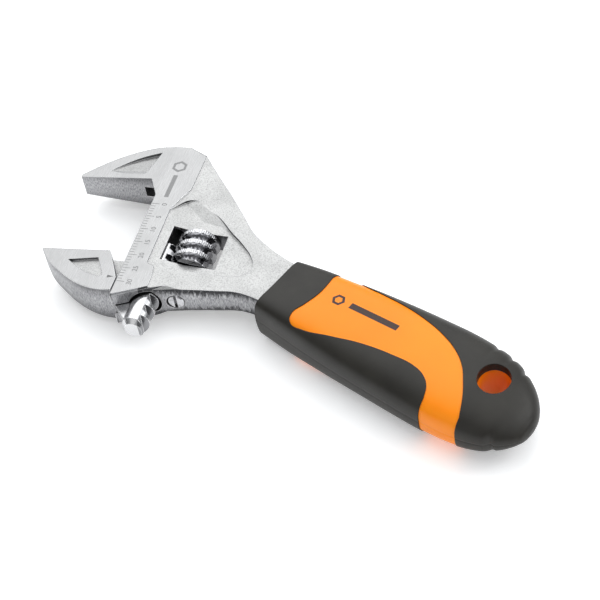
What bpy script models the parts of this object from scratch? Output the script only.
"""Adjustable wrench with wide thin jaws and a two-colour hanging handle.

Head frame used below: u runs down the rail from the fixed jaw to the moving jaw, w runs from the
rail edge towards the handle, and both start at the zero of the jaw scale.  Heights start at the mid-plane.
"""
import bpy
import bmesh
from math import atan2, cos, pi, radians, sin
from mathutils import Matrix

MM = 0.001

# Overall sizes
HANDLE_THICK = 16.0 * MM
HEAD_THICK = 11.8 * MM
HEAD_TILT = radians(22.5)            # jaws turned against the handle
BOX_CENTRE = (51.23 * MM, -6.23 * MM)  # middle of the whole tool, seen from the scale zero
MID_HEIGHT = 7.85 * MM               # mid-plane above the ground under the widest grip

# Jaws and rail
GAP_REST = 29.0 * MM                 # jaw opening as modelled
GAP_MAX = 32.0 * MM
FACE_FIXED = -10.0 * MM              # u of the fixed jaw face
JAW_REACH = 25.8 * MM                # rail edge to jaw tips
JAW_TAPER = 2.4 * MM                 # taken off each side at the tips
THROAT = 3.4 * MM                    # slanted corner between rail and fixed jaw
RAIL_END = 35.4 * MM
RUN_CLEAR = 0.3 * MM                 # running gap round sliding metal
RECESS = 0.8 * MM
RIDGE = 1.6 * MM                     # forging draft: the sides swell towards the mid-plane
RIDGE_FLAT = 0.6 * MM
RIDGE_HALF = 4.8 * MM

# Rack bar and its bore
BAR_R = 3.6 * MM
BAR_W = 7.9 * MM                     # bar axis from the rail edge
BORE_SHIFT = 0.2 * MM                # the bore is drilled a little further in than the bar runs
BORE_CLEAR = 0.75 * MM               # wide clearance round the toothed bar, which the web slot guides
BAR_TOP = 9.6 * MM
BAR_END = 41.6 * MM
BAR_CHAMFER = 2.6 * MM
BAR_BREAK = 1.2 * MM                 # broken edge round the visible bar end
WEB = 3.0 * MM
WEB_END = 1.6 * MM                   # web and teeth stop this far before the bar end
PITCH = 3.8 * MM
TOOTH_DEEP = 2.0 * MM
MESH_DEEP = 1.1 * MM                 # how far the worm's crest reaches into the teeth

# Worm, pin and spring
WORM_U = 13.25 * MM
WORM_R = 5.8 * MM
WORM_ROOT = 3.6 * MM
WORM_LONG = 11.9 * MM
CREST = 1.2 * MM
WINDOW_LONG = WORM_LONG + 0.8 * MM
WINDOW_WIDE = 15.6 * MM
WINDOW_W = 9.0 * MM
PIN_R = 1.7 * MM
PIN_HEAD_R = 2.4 * MM
PIN_HEAD = 7.0 * MM
PIN_END = 3.0 * MM
PIN_FACE = 30.2 * MM                 # u of the slotted end
PIN_FIT = 0.15 * MM
SPRING_WIRE = 0.28 * MM
SPRING_R = 2.35 * MM
SPRING_POCKET = 4.0 * MM
COILS = 4
THREAD_TURNS = 4                     # wound longer than the worm, then trimmed

# Neck, tang and handle
SATIN_EDGE = 5.6 * MM                # half thickness just off the ground faces
SATIN_MID = 4.2 * MM
NECK_HALF = 3.6 * MM
PAD_HALF = 2.9 * MM                  # half thickness on the floor round the worm
TANG_HALF = (6.0 * MM, 2.6 * MM)
TANG_END = 104.0 * MM
HANDLE_Y = -5.4 * MM
HANDLE_FRONT = 50.4 * MM
HANDLE_BUTT = 130.5 * MM
FRONT_LIP = 1.3 * MM                 # the collar reaches further forward on the finger side
RING = 40                            # points round a handle section
GRIP_SKIN = 2.0 * MM
CORE_SINK = 0.25 * MM                # hard core sits this far under the soft grip
FIT = 0.3 * MM                       # gap between pieces that touch
HOLE_X, HOLE_Y = 116.9 * MM, -3.6 * MM
HOLE_R = 4.0 * MM
HOLE_STRETCH = 1.18                  # the hanging hole is a little longer across the handle

STEEL = ("satin chrome steel", (0.72, 0.72, 0.73), 0.30, 1.0)
BRIGHT = ("bright chrome steel", (0.80, 0.80, 0.81), 0.15, 1.0)
SPRING_STEEL = ("spring steel", (0.35, 0.35, 0.36), 0.35, 1.0)
ORANGE = ("orange hard plastic", (0.95, 0.30, 0.02), 0.30, 0.0)
BLACK = ("black soft grip", (0.045, 0.044, 0.040), 0.60, 0.0)

for old in list(bpy.data.objects):
    bpy.data.objects.remove(old, do_unlink=True)
PARTS = bpy.data.collections.new("adjustable wrench")
CUTTERS = bpy.data.collections.new("cutters")
for holder in (PARTS, CUTTERS):
    bpy.context.scene.collection.children.link(holder)

TOOL = Matrix.Translation((-BOX_CENTRE[0], -BOX_CENTRE[1], MID_HEIGHT))
HEAD = TOOL @ Matrix.Rotation(HEAD_TILT - pi / 2, 4, "Z")
BAR = HEAD @ Matrix.Translation((0, BAR_W, 0))
WORM_W = BAR_W + BAR_R + WORM_R - MESH_DEEP
WORM = HEAD @ Matrix.Translation((WORM_U, WORM_W, 0))
FACE_MOVING = FACE_FIXED + GAP_REST


def show(name, mesh, frame, material=None):
    item = bpy.data.objects.new(name, mesh)
    item.matrix_world = frame
    if material is None:
        CUTTERS.objects.link(item)
        item.hide_render, item.display_type = True, "WIRE"
        return item
    PARTS.objects.link(item)
    label, colour, rough, metal = material
    made = bpy.data.materials.get(label) or bpy.data.materials.new(label)
    made.use_nodes = True
    shader = made.node_tree.nodes["Principled BSDF"]
    shader.inputs["Base Color"].default_value = (*colour, 1)
    shader.inputs["Roughness"].default_value = rough
    shader.inputs["Metallic"].default_value = metal
    mesh.materials.append(made)
    return item


def baked(item, fill=False):
    """Swap a curve or modifier stack for its plain closed mesh."""
    bpy.context.view_layer.update()
    graph = bpy.context.evaluated_depsgraph_get()
    mesh = bpy.data.meshes.new_from_object(item.evaluated_get(graph))
    bm = bmesh.new()
    bm.from_mesh(mesh)
    bmesh.ops.remove_doubles(bm, verts=bm.verts, dist=0.000002)
    if fill:
        bmesh.ops.holes_fill(bm, edges=[e for e in bm.edges if e.is_boundary])
    bmesh.ops.recalc_face_normals(bm, faces=bm.faces)
    bm.to_mesh(mesh)
    bm.free()
    mesh.materials.clear()
    frame = item.matrix_world.copy()
    name = item.name
    bpy.data.objects.remove(item, do_unlink=True)
    return name, mesh, frame


def plate(name, outline, half, frame, edge=0.0, steps=0, grow=0.0, material=None, detail=6):
    """Filled outline thickened about the mid-plane, its rims rounded by edge; True marks a sharp corner."""
    curve = bpy.data.curves.new(name, "CURVE")
    curve.dimensions, curve.fill_mode = "2D", "BOTH"
    curve.extrude, curve.offset = half - edge, grow - edge
    curve.bevel_depth, curve.bevel_resolution = edge, steps
    curve.resolution_u = detail
    line = curve.splines.new("BEZIER")
    line.bezier_points.add(len(outline) - 1)
    line.use_cyclic_u = True
    for point, (x, y, corner) in zip(line.bezier_points, outline):
        point.co = (x, y, 0)
        point.handle_left_type = point.handle_right_type = "VECTOR" if corner else "AUTO"
    item = bpy.data.objects.new(name, curve)
    item.matrix_world = frame
    CUTTERS.objects.link(item)
    name, mesh, frame = baked(item)
    return show(name, mesh, frame, material)


def corners(*points):
    return [(x * MM, y * MM, True) for x, y in points]


def bends(*points):
    return [(x * MM, y * MM, False) for x, y in points]


def box(name, low, high, frame):
    bm = bmesh.new()
    size = [b - a for a, b in zip(low, high)]
    middle = [(a + b) / 2 for a, b in zip(low, high)]
    bmesh.ops.create_cube(bm, size=1, matrix=Matrix.Translation(middle) @ Matrix.Diagonal((*size, 1)))
    mesh = bpy.data.meshes.new(name)
    bm.to_mesh(mesh)
    bm.free()
    return show(name, mesh, frame)


def turned(name, profile, frame, material=None, sides=48):
    """Solid of revolution about the local x axis from (x, radius) pairs that start and end on the axis."""
    mesh = bpy.data.meshes.new(name)
    mesh.from_pydata([(x, r, 0) for x, r in profile], [(i, i + 1) for i in range(len(profile) - 1)], [])
    item = show(name, mesh, frame)
    screw = item.modifiers.new("turn", "SCREW")
    screw.axis, screw.angle = "X", 2 * pi
    screw.steps = screw.render_steps = sides
    name, mesh, made = baked(item)
    return show(name, mesh, frame, material)


def mirrored(item):
    both = item.modifiers.new("both faces", "MIRROR")
    both.use_axis = (False, False, True)
    both.use_mirror_merge = False
    return item


def combine(item, *others, how="DIFFERENCE"):
    for other in others:
        step = item.modifiers.new(other.name, "BOOLEAN")
        step.operation, step.object, step.solver = how, other, "EXACT"
    return item


def finish(item, angle=30.0):
    item.data.shade_smooth()
    item.data.set_sharp_from_angle(angle=radians(angle))
    return item


def side_profile(name, points, low, high):
    """Prism with a (w, height) outline, running along u between low and high."""
    item = plate(name, [(x, y, True) for x, y in points], (high - low) / 2, HEAD)
    item.data.transform(Matrix(((0, 0, 1, (low + high) / 2), (1, 0, 0, 0), (0, 1, 0, 0), (0, 0, 0, 1))))
    return item


def long_profile(name, points, low, high):
    """Prism with a (u, height) outline, running along w between low and high."""
    item = plate(name, [(x, y, True) for x, y in points], (high - low) / 2, HEAD)
    item.data.transform(Matrix(((1, 0, 0, 0), (0, 0, -1, (low + high) / 2), (0, 1, 0, 0), (0, 0, 0, 1))))
    return item


HALF = HEAD_THICK / 2
TAPER = atan2(JAW_TAPER, JAW_REACH)
SLOPE = Matrix.Translation((0, 0, HALF)) @ Matrix.Rotation(TAPER, 4, "X")


def jaw_taper(name, low, high):
    """Wedge over the jaws that thins them evenly towards the tips, on both faces."""
    far, up = -40 * MM, 6 * MM
    drop = JAW_TAPER / JAW_REACH
    points = [(1 * MM, HALF + drop * MM), (1 * MM, HALF + up), (far, HALF + up), (far, HALF + drop * far)]
    return mirrored(side_profile(name, points, low, high))


def face_pocket(name, outline, tilt=0.0, hinge=0.0):
    """Shallow recess in a tapered jaw face, on both faces; tilt lets its floor run out at u = hinge."""
    lean = (Matrix.Translation((hinge, 0, 0)) @ Matrix.Rotation(tilt, 4, "Y")
            @ Matrix.Translation((-hinge, 0, 0)))
    depth = 0.0 if tilt else RECESS
    item = plate(name, outline, 3 * MM, HEAD)
    item.data.transform(SLOPE @ lean @ Matrix.Translation((0, 0, 3 * MM - depth)))
    return mirrored(item)


def body_outline():
    """Plan of the head and neck, generous on the side that the jaw gap is cut from."""
    return ([(-11.0 * MM, -JAW_REACH, True)]
            + bends((-13.7, -22.6), (-17.1, -18.2), (-20.3, -12.6), (-22.6, -6.7), (-23.9, -0.3))
            + corners((-24.1, 4.2), (-21.3, 9.7))
            + bends((-15.5, 14.6), (-8.6, 20.6), (0.2, 27.6), (5.5, 31.8), (9.7, 37.0), (12.9, 42.0),
                    (15.4, 47.0))
            + corners((19.4, 57.0), (35.0, 50.5))
            + bends((30.1, 42.2), (27.8, 35.8), (27.3, 30.3), (27.7, 23.0), (28.9, 14.0), (31.0, 9.6))
            + [(RAIL_END, 0.0, True), (RAIL_END, -4 * MM, True),
               (FACE_FIXED + 2 * MM, -JAW_REACH, True)])


def cut_satin(body):
    """Lower the forged satin faces below the ground jaw and rail faces, thinning towards the neck."""
    border = corners((-40, 10.0), (-13.4, 9.8), (-7.1, 9.7), (1.4, 6.1), (22.2, 6.3), (23.3, 8.7),
                     (27.0, 9.4), (40, 9.7), (60, 70), (-40, 70))
    satin = plate("satin_cut", border, 10 * MM, HEAD)
    floor = [(0, SATIN_EDGE), (9.5 * MM, SATIN_EDGE), (18 * MM, SATIN_MID), (39 * MM, NECK_HALF),
             (80 * MM, NECK_HALF), (80 * MM, 9 * MM), (0, 9 * MM)]
    combine(satin, side_profile("satin_floor", floor, -50 * MM, 70 * MM), how="INTERSECT")
    name, mesh, frame = baked(satin)
    combine(body, mirrored(show(name, mesh, frame)))


def cut_pad(body):
    """Sunk pad round the worm: D-shaped, sloping from the rail and scooped out on the fixed jaw side."""
    pad = corners((1.4, 6.1), (21.6, 6.3), (22.0, 12.0))
    pad += bends((22.4, 21.4), (22.4, 27.6), (21.9, 31.7), (20.2, 34.1), (17.6, 34.9), (14.4, 33.6),
                 (10.3, 30.1), (6.4, 25.8), (0.5, 19.5), (-3.5, 12.0))
    across = [(0, 5.4 * MM), (6.2 * MM, 5.4 * MM), (9.2 * MM, 4.9 * MM), (16 * MM, PAD_HALF + 0.4 * MM),
              (24 * MM, PAD_HALF), (50 * MM, PAD_HALF), (50 * MM, 9 * MM), (0, 9 * MM)]
    down = [(-9 * MM, HALF), (-2 * MM, SATIN_EDGE - 0.9 * MM), (5 * MM, PAD_HALF - 0.2 * MM),
            (8 * MM, 1 * MM), (30 * MM, 1 * MM), (30 * MM, 9 * MM), (-9 * MM, 9 * MM)]
    well = plate("pad_cut", pad, 10 * MM, HEAD)
    combine(well, side_profile("pad_across", across, -20 * MM, 40 * MM), how="INTERSECT")
    combine(well, long_profile("pad_down", down, -5 * MM, 60 * MM), how="INTERSECT")
    name, mesh, frame = baked(well)
    combine(body, mirrored(show(name, mesh, frame)))


def build_body():
    """Forged body: fixed jaw, rail, bored and slotted for the rack, worm window, neck and tang."""
    body = plate("wrench_body", body_outline(), HALF, HEAD, 0.5 * MM, material=STEEL)
    gap = [(FACE_FIXED, -60 * MM, True), (FACE_FIXED, -THROAT, True), (FACE_FIXED + 6.4 * MM, 0, True),
           (60 * MM, 0, True), (60 * MM, -60 * MM, True)]
    swell = corners((18, 9)) + bends((31.0, 9.2), (30.9, 12.2), (30.1, 16.5), (29.1, 23.0), (28.1, 30.3),
                                     (26.6, 37.0)) + corners((18, 38))
    ridge = plate("side_ridge", swell, RIDGE_FLAT + RIDGE, HEAD, RIDGE, 2)
    ridge.data.transform(Matrix.Diagonal((1, 1, RIDGE_HALF / (RIDGE_FLAT + RIDGE), 1)))
    combine(body, ridge, how="UNION")
    combine(body, plate("gap_cut", gap, 10 * MM, HEAD))
    combine(body, jaw_taper("body_taper_cut", -40 * MM, 40 * MM))
    cut_satin(body)
    cut_pad(body)

    web_half = WEB / 2 + RUN_CLEAR
    combine(body, box("slot_cut", (FACE_FIXED - 3 * MM, -6.4 * MM, -web_half),
                      (60 * MM, BAR_W, web_half), HEAD))
    bore = BAR_R + BORE_CLEAR
    bore_axis = BAR @ Matrix.Translation((0, BORE_SHIFT, 0))
    end = BAR_TOP + FACE_FIXED - FACE_MOVING
    combine(body, turned("bore_cut", [(end - 0.4 * MM, 0), (end - 0.4 * MM, bore - BAR_CHAMFER),
                                      (end + BAR_CHAMFER - 0.4 * MM, bore), (60 * MM, bore), (60 * MM, 0)],
                         bore_axis))
    combine(body, box("window_cut", (-WINDOW_LONG / 2, WINDOW_W - WORM_W, -10 * MM),
                      (WINDOW_LONG / 2, WINDOW_W + WINDOW_WIDE - WORM_W, 10 * MM), WORM))
    slim, wide = PIN_R + PIN_FIT, PIN_HEAD_R + PIN_FIT
    step = PIN_FACE - PIN_HEAD - WORM_U - FIT
    start = PIN_END - WORM_U - FIT
    combine(body, turned("pin_cut", [(start, 0), (start, slim), (step, slim), (step, wide),
                                     (40 * MM, wide), (40 * MM, 0)], WORM))
    crescent = corners((-12.9, -17.4), (-11.8, -11.9), (-11.8, -6.2), (-17.6, -4.6), (-20.9, -3.8))
    crescent += bends((-18.9, -8.9), (-16.1, -13.4))
    combine(body, face_pocket("crescent_cut", crescent, radians(-6.5), -11.8 * MM))

    wide, thin = TANG_HALF
    tang = box("tang", (40 * MM, HANDLE_Y - wide, -thin), (TANG_END, HANDLE_Y + wide, thin), TOOL)
    combine(body, tang, how="UNION")
    return finish(body)


def build_jaw():
    """Moving jaw with its web and toothed bar in one piece."""
    face, base = FACE_MOVING, -RUN_CLEAR
    tip = -JAW_REACH - 0.6 * MM
    outline = [(face - 2 * MM, tip, True), (face + 0.6 * MM, tip, True)]
    outline += [((u - 19.0) * MM + face, w * MM, False) for u, w in
                [(21.0, -25.3), (23.8, -22.9), (27.6, -18.0), (31.3, -12.0), (33.3, -6.0)]]
    outline += [(face + 14.6 * MM, base, True), (face + 9.6 * MM, base, True), (face, -5.7 * MM, True),
                (face - 2 * MM, -5.7 * MM, True)]
    jaw = plate("movable_jaw", outline, HALF, HEAD, 0.3 * MM, material=STEEL)
    jaw.data.transform(Matrix.Translation((0, -BAR_W, 0)))
    jaw.matrix_world = BAR
    web = [(face, -5.8 * MM, True), (face + 10 * MM, -5.8 * MM, True), (face + 14.2 * MM, -1 * MM, True),
           (BAR_END - WEB_END, BAR_W - BAR_R + 1 * MM, True), (BAR_END - WEB_END, BAR_W, True),
           (face, BAR_W, True)]
    combine(jaw, plate("web", web, WEB / 2, HEAD), how="UNION")
    bar = [(BAR_TOP, 0), (BAR_TOP, BAR_R - BAR_CHAMFER), (BAR_TOP + BAR_CHAMFER, BAR_R),
           (BAR_END - BAR_BREAK, BAR_R), (BAR_END, BAR_R - BAR_BREAK), (BAR_END, 0)]
    combine(jaw, turned("bar", bar, BAR), how="UNION")
    combine(jaw, box("face_cut", (face - 9 * MM, -40 * MM, -9 * MM), (face, BAR_W - 2 * MM, 9 * MM),
                     HEAD))
    combine(jaw, jaw_taper("jaw_taper_cut", 5 * MM, 60 * MM))
    pocket = corners((22.9, -17.2), (21.7, -8.4), (28.0, -4.9), (28.8, -5.7), (27.2, -10.4), (24.8, -14.6))
    combine(jaw, face_pocket("pocket_cut", pocket))

    top, floor, deep = 2.9 * MM, 1.7 * MM, TOOTH_DEEP
    lead = atan2(PITCH, 2 * pi * WORM_R)
    for index in range(int((BAR_END - WEB_END - WORM_U) / PITCH) + 1):
        groove = [(-top / 2, 1 * MM, True), (-top / 2, 0, True), (-floor / 2, -deep, True),
                  (floor / 2, -deep, True), (top / 2, 0, True), (top / 2, 1 * MM, True)]
        at = HEAD @ Matrix.Translation((WORM_U + index * PITCH, BAR_W + BAR_R, 0))
        at = at @ Matrix.Rotation(-lead, 4, "Y")
        combine(jaw, plate("tooth_cut_%d" % (index + 1), groove, 6 * MM, at))
    return finish(jaw)


def build_worm():
    """Knurled adjusting worm: core, one right-hand thread, pin bore and spring pocket."""
    half = WORM_LONG / 2
    over = half + PITCH / 2
    core = [(-over, 0), (-over, WORM_ROOT), (over, WORM_ROOT), (over, 0)]
    worm = turned("worm", core, WORM, BRIGHT)
    foot = 1.3 * MM
    mesh = bpy.data.meshes.new("thread")
    sunk = WORM_ROOT - 0.5 * MM
    section = [(-foot, sunk), (-CREST / 2, WORM_R), (CREST / 2, WORM_R), (foot, sunk)]
    mesh.from_pydata([(x - THREAD_TURNS / 2 * PITCH, -r, 0) for x, r in section],
                     [(0, 1), (1, 2), (2, 3), (3, 0)], [])
    thread = show("thread", mesh, WORM)
    screw = thread.modifiers.new("wind", "SCREW")
    screw.axis, screw.angle, screw.screw_offset = "X", 2 * pi * THREAD_TURNS, PITCH * THREAD_TURNS
    screw.steps = screw.render_steps = 30 * THREAD_TURNS
    name, mesh, frame = baked(thread, fill=True)
    combine(worm, show(name, mesh, frame), how="UNION")
    combine(worm, turned("worm_trim", [(-half, 0), (-half, 9 * MM), (half, 9 * MM), (half, 0)], WORM),
            how="INTERSECT")
    bore, pocket = PIN_R + PIN_FIT, SPRING_R + SPRING_WIRE + 0.2 * MM
    combine(worm, turned("worm_bore", [(-2 * half, 0), (-2 * half, pocket), (SPRING_POCKET - half, pocket),
                                       (SPRING_POCKET - half, bore), (2 * half, bore), (2 * half, 0)], WORM))
    return finish(worm)


def build_pin():
    """Screw pin the worm turns on, slotted at its visible end."""
    start, face = PIN_END - WORM_U, PIN_FACE - WORM_U
    pin = turned("worm_pin", [(start, 0), (start, PIN_R - 0.3 * MM), (start + 0.3 * MM, PIN_R),
                              (face - PIN_HEAD, PIN_R), (face - PIN_HEAD, PIN_HEAD_R),
                              (face - 0.3 * MM, PIN_HEAD_R), (face, PIN_HEAD_R - 0.3 * MM), (face, 0)],
                 WORM, BRIGHT)
    wide, deep = 0.9 * MM, 0.9 * MM
    combine(pin, box("slot", (face - deep, -wide / 2, -4 * MM), (face + 2 * MM, wide / 2, 4 * MM), WORM))
    return finish(pin)


def build_spring():
    """Small compression spring hidden in the upper end of the worm."""
    low = -WINDOW_LONG / 2 + SPRING_WIRE + FIT
    high = SPRING_POCKET - WORM_LONG / 2 - SPRING_WIRE - FIT
    curve = bpy.data.curves.new("worm_spring", "CURVE")
    curve.dimensions, curve.bevel_depth, curve.bevel_resolution = "3D", SPRING_WIRE, 1
    curve.use_fill_caps = True
    line = curve.splines.new("POLY")
    count = 16 * COILS
    line.points.add(count)
    for index, point in enumerate(line.points):
        angle = 2 * pi * COILS * index / count
        along = low + (high - low) * index / count
        point.co = (along, SPRING_R * cos(angle), SPRING_R * sin(angle), 1)
    item = bpy.data.objects.new("worm_spring", curve)
    item.matrix_world = WORM
    CUTTERS.objects.link(item)
    name, mesh, frame = baked(item)
    return finish(show(name, mesh, frame, SPRING_STEEL))


def grip_form(name, inset=0.0):
    """Handle form lofted from boxy front sections to a domed butt, shrunk evenly by inset."""
    stations = ((50.4, -15.1, 4.1, 7.1, 6.0), (58, -16.3, 5.3, 7.6, 5.0), (66, -17.4, 6.4, 7.9, 3.9),
                (76, -18.5, 7.6, 8.0, 3.3), (86, -19.3, 8.3, 8.0, 3.1), (96, -20.0, 8.6, 8.0, 3.0),
                (104, -20.4, 8.6, 7.9, 3.0), (110, -20.4, 8.1, 7.7, 3.0), (115, -20.0, 7.3, 7.3, 3.0),
                (119, -19.3, 6.1, 6.6, 2.9), (122.5, -18.2, 4.2, 5.7, 2.8), (125.3, -16.7, 2.2, 4.7, 2.6),
                (127.5, -15.0, -0.1, 3.7, 2.4), (129.1, -13.2, -2.5, 2.7, 2.2),
                (130.1, -11.4, -4.9, 1.7, 2.0), (130.5, -9.7, -6.7, 0.8, 2.0))
    stretch = (HANDLE_BUTT - HANDLE_FRONT) / (80.1 * MM)
    thick = HANDLE_THICK / (16 * MM)
    first, last = stations[0][0], stations[-1][0]
    bm = bmesh.new()
    rings = []
    for x, low, high, half, square in stations:
        if (last - x) * MM < inset - 0.1 * MM or (last - x < 4 and inset > GRIP_SKIN - 0.1 * MM):
            continue
        along = HANDLE_FRONT + (x - first) * MM * stretch
        if x == first and inset:
            along += inset
        wide = (high - low) / 2 * MM - inset
        deep = half * MM * thick - inset
        ring = []
        for index in range(RING):
            angle = 2 * pi * index / RING
            c, d = cos(angle), sin(angle)
            size = (abs(c) ** square + abs(d) ** square) ** (-1 / square)
            lip = FRONT_LIP * max(0.0, -c) ** 3 if x == first else 0.0
            middle = (low + high) / 2 * MM
            ring.append(bm.verts.new((along - lip, middle + wide * size * c, deep * size * d)))
        rings.append(ring)
    for one, two in zip(rings, rings[1:]):
        for index in range(RING):
            after = (index + 1) % RING
            bm.faces.new((one[index], one[after], two[after], two[index]))
    for ring in (rings[0], rings[-1]):
        hub = bm.verts.new(((ring[0].co.x + ring[RING // 4].co.x) / 2,
                            (ring[0].co.y + ring[RING // 2].co.y) / 2, 0))
        for index in range(RING):
            bm.faces.new((ring[index], ring[(index + 1) % RING], hub))
    bmesh.ops.recalc_face_normals(bm, faces=bm.faces)
    mesh = bpy.data.meshes.new(name)
    bm.to_mesh(mesh)
    bm.free()
    return show(name, mesh, TOOL)


def front_area(grow=0.0):
    """Plan of the front black grip: collar and the long lower panel."""
    edge = corners((62.4, 30), (62.7, 2.6))
    edge += bends((63.1, 0.4), (63.2, -4), (62.2, -8.8), (61.0, -13.2), (62.0, -15.2), (66.1, -15.6),
                  (74.3, -14.0), (82.6, -12.1), (91.6, -11.1), (98.6, -11.2), (102.4, -12.6), (104.4, -14.6))
    edge += corners((105.4, -17.4), (105.8, -40), (20, -40), (20, 30))
    return plate("front_area", edge, 30 * MM, TOOL, grow=grow)


def rear_area(grow=0.0):
    """Plan of the rear black grip: upper strip and the butt."""
    edge = corners((116.2, -40), (115.8, -17.4))
    edge += bends((113.8, -12.8), (111.2, -8.6), (108.4, -4.9), (104.6, -1.8), (99, 1), (91.2, 3.4),
                  (83.8, 4.7), (77, 5.2), (71, 5.6))
    edge += corners((67.6, 7.2), (66.6, 30), (150, 30), (150, -40))
    return plate("rear_area", edge, 30 * MM, TOOL, grow=grow)


def build_handle():
    """Hard orange core over neck and tang, with two soft black grips moulded round it."""
    reach = 60 * MM
    neck = plate("neck_room", body_outline(), NECK_HALF + FIT, HEAD, grow=FIT)
    wide, thin = TANG_HALF[0] + FIT, TANG_HALF[1] + FIT
    tang = box("tang_room", (40 * MM, HANDLE_Y - wide, -thin), (TANG_END + FIT, HANDLE_Y + wide, thin), TOOL)
    hole = turned("hole_cut", [(-reach, 0), (-reach, HOLE_R), (reach, HOLE_R), (reach, 0)],
                  TOOL @ Matrix.Translation((HOLE_X, HOLE_Y, 0)) @ Matrix.Rotation(pi / 2, 4, "Y"))
    hole.data.transform(Matrix.Diagonal((1, HOLE_STRETCH, 1, 1)))
    made = []
    for name, area in (("front_grip", front_area()), ("rear_grip", rear_area())):
        grip = grip_form(name)
        mesh = grip.data
        bpy.data.objects.remove(grip)
        grip = show(name, mesh, TOOL, BLACK)
        combine(grip, area, how="INTERSECT")
        combine(grip, grip_form(name + "_inside", GRIP_SKIN), hole if name == "rear_grip" else neck)
        made.append(grip)

    core = show("handle_core", grip_form("core_form", CORE_SINK).data, TOOL, ORANGE)
    combine(core, front_area(FIT), rear_area(FIT))
    combine(core, grip_form("core_inside", GRIP_SKIN + FIT), how="UNION")
    combine(core, neck, tang, hole)
    for item in made + [core]:
        finish(item)


build_body()
build_jaw()
build_worm()
build_pin()
build_spring()
build_handle()
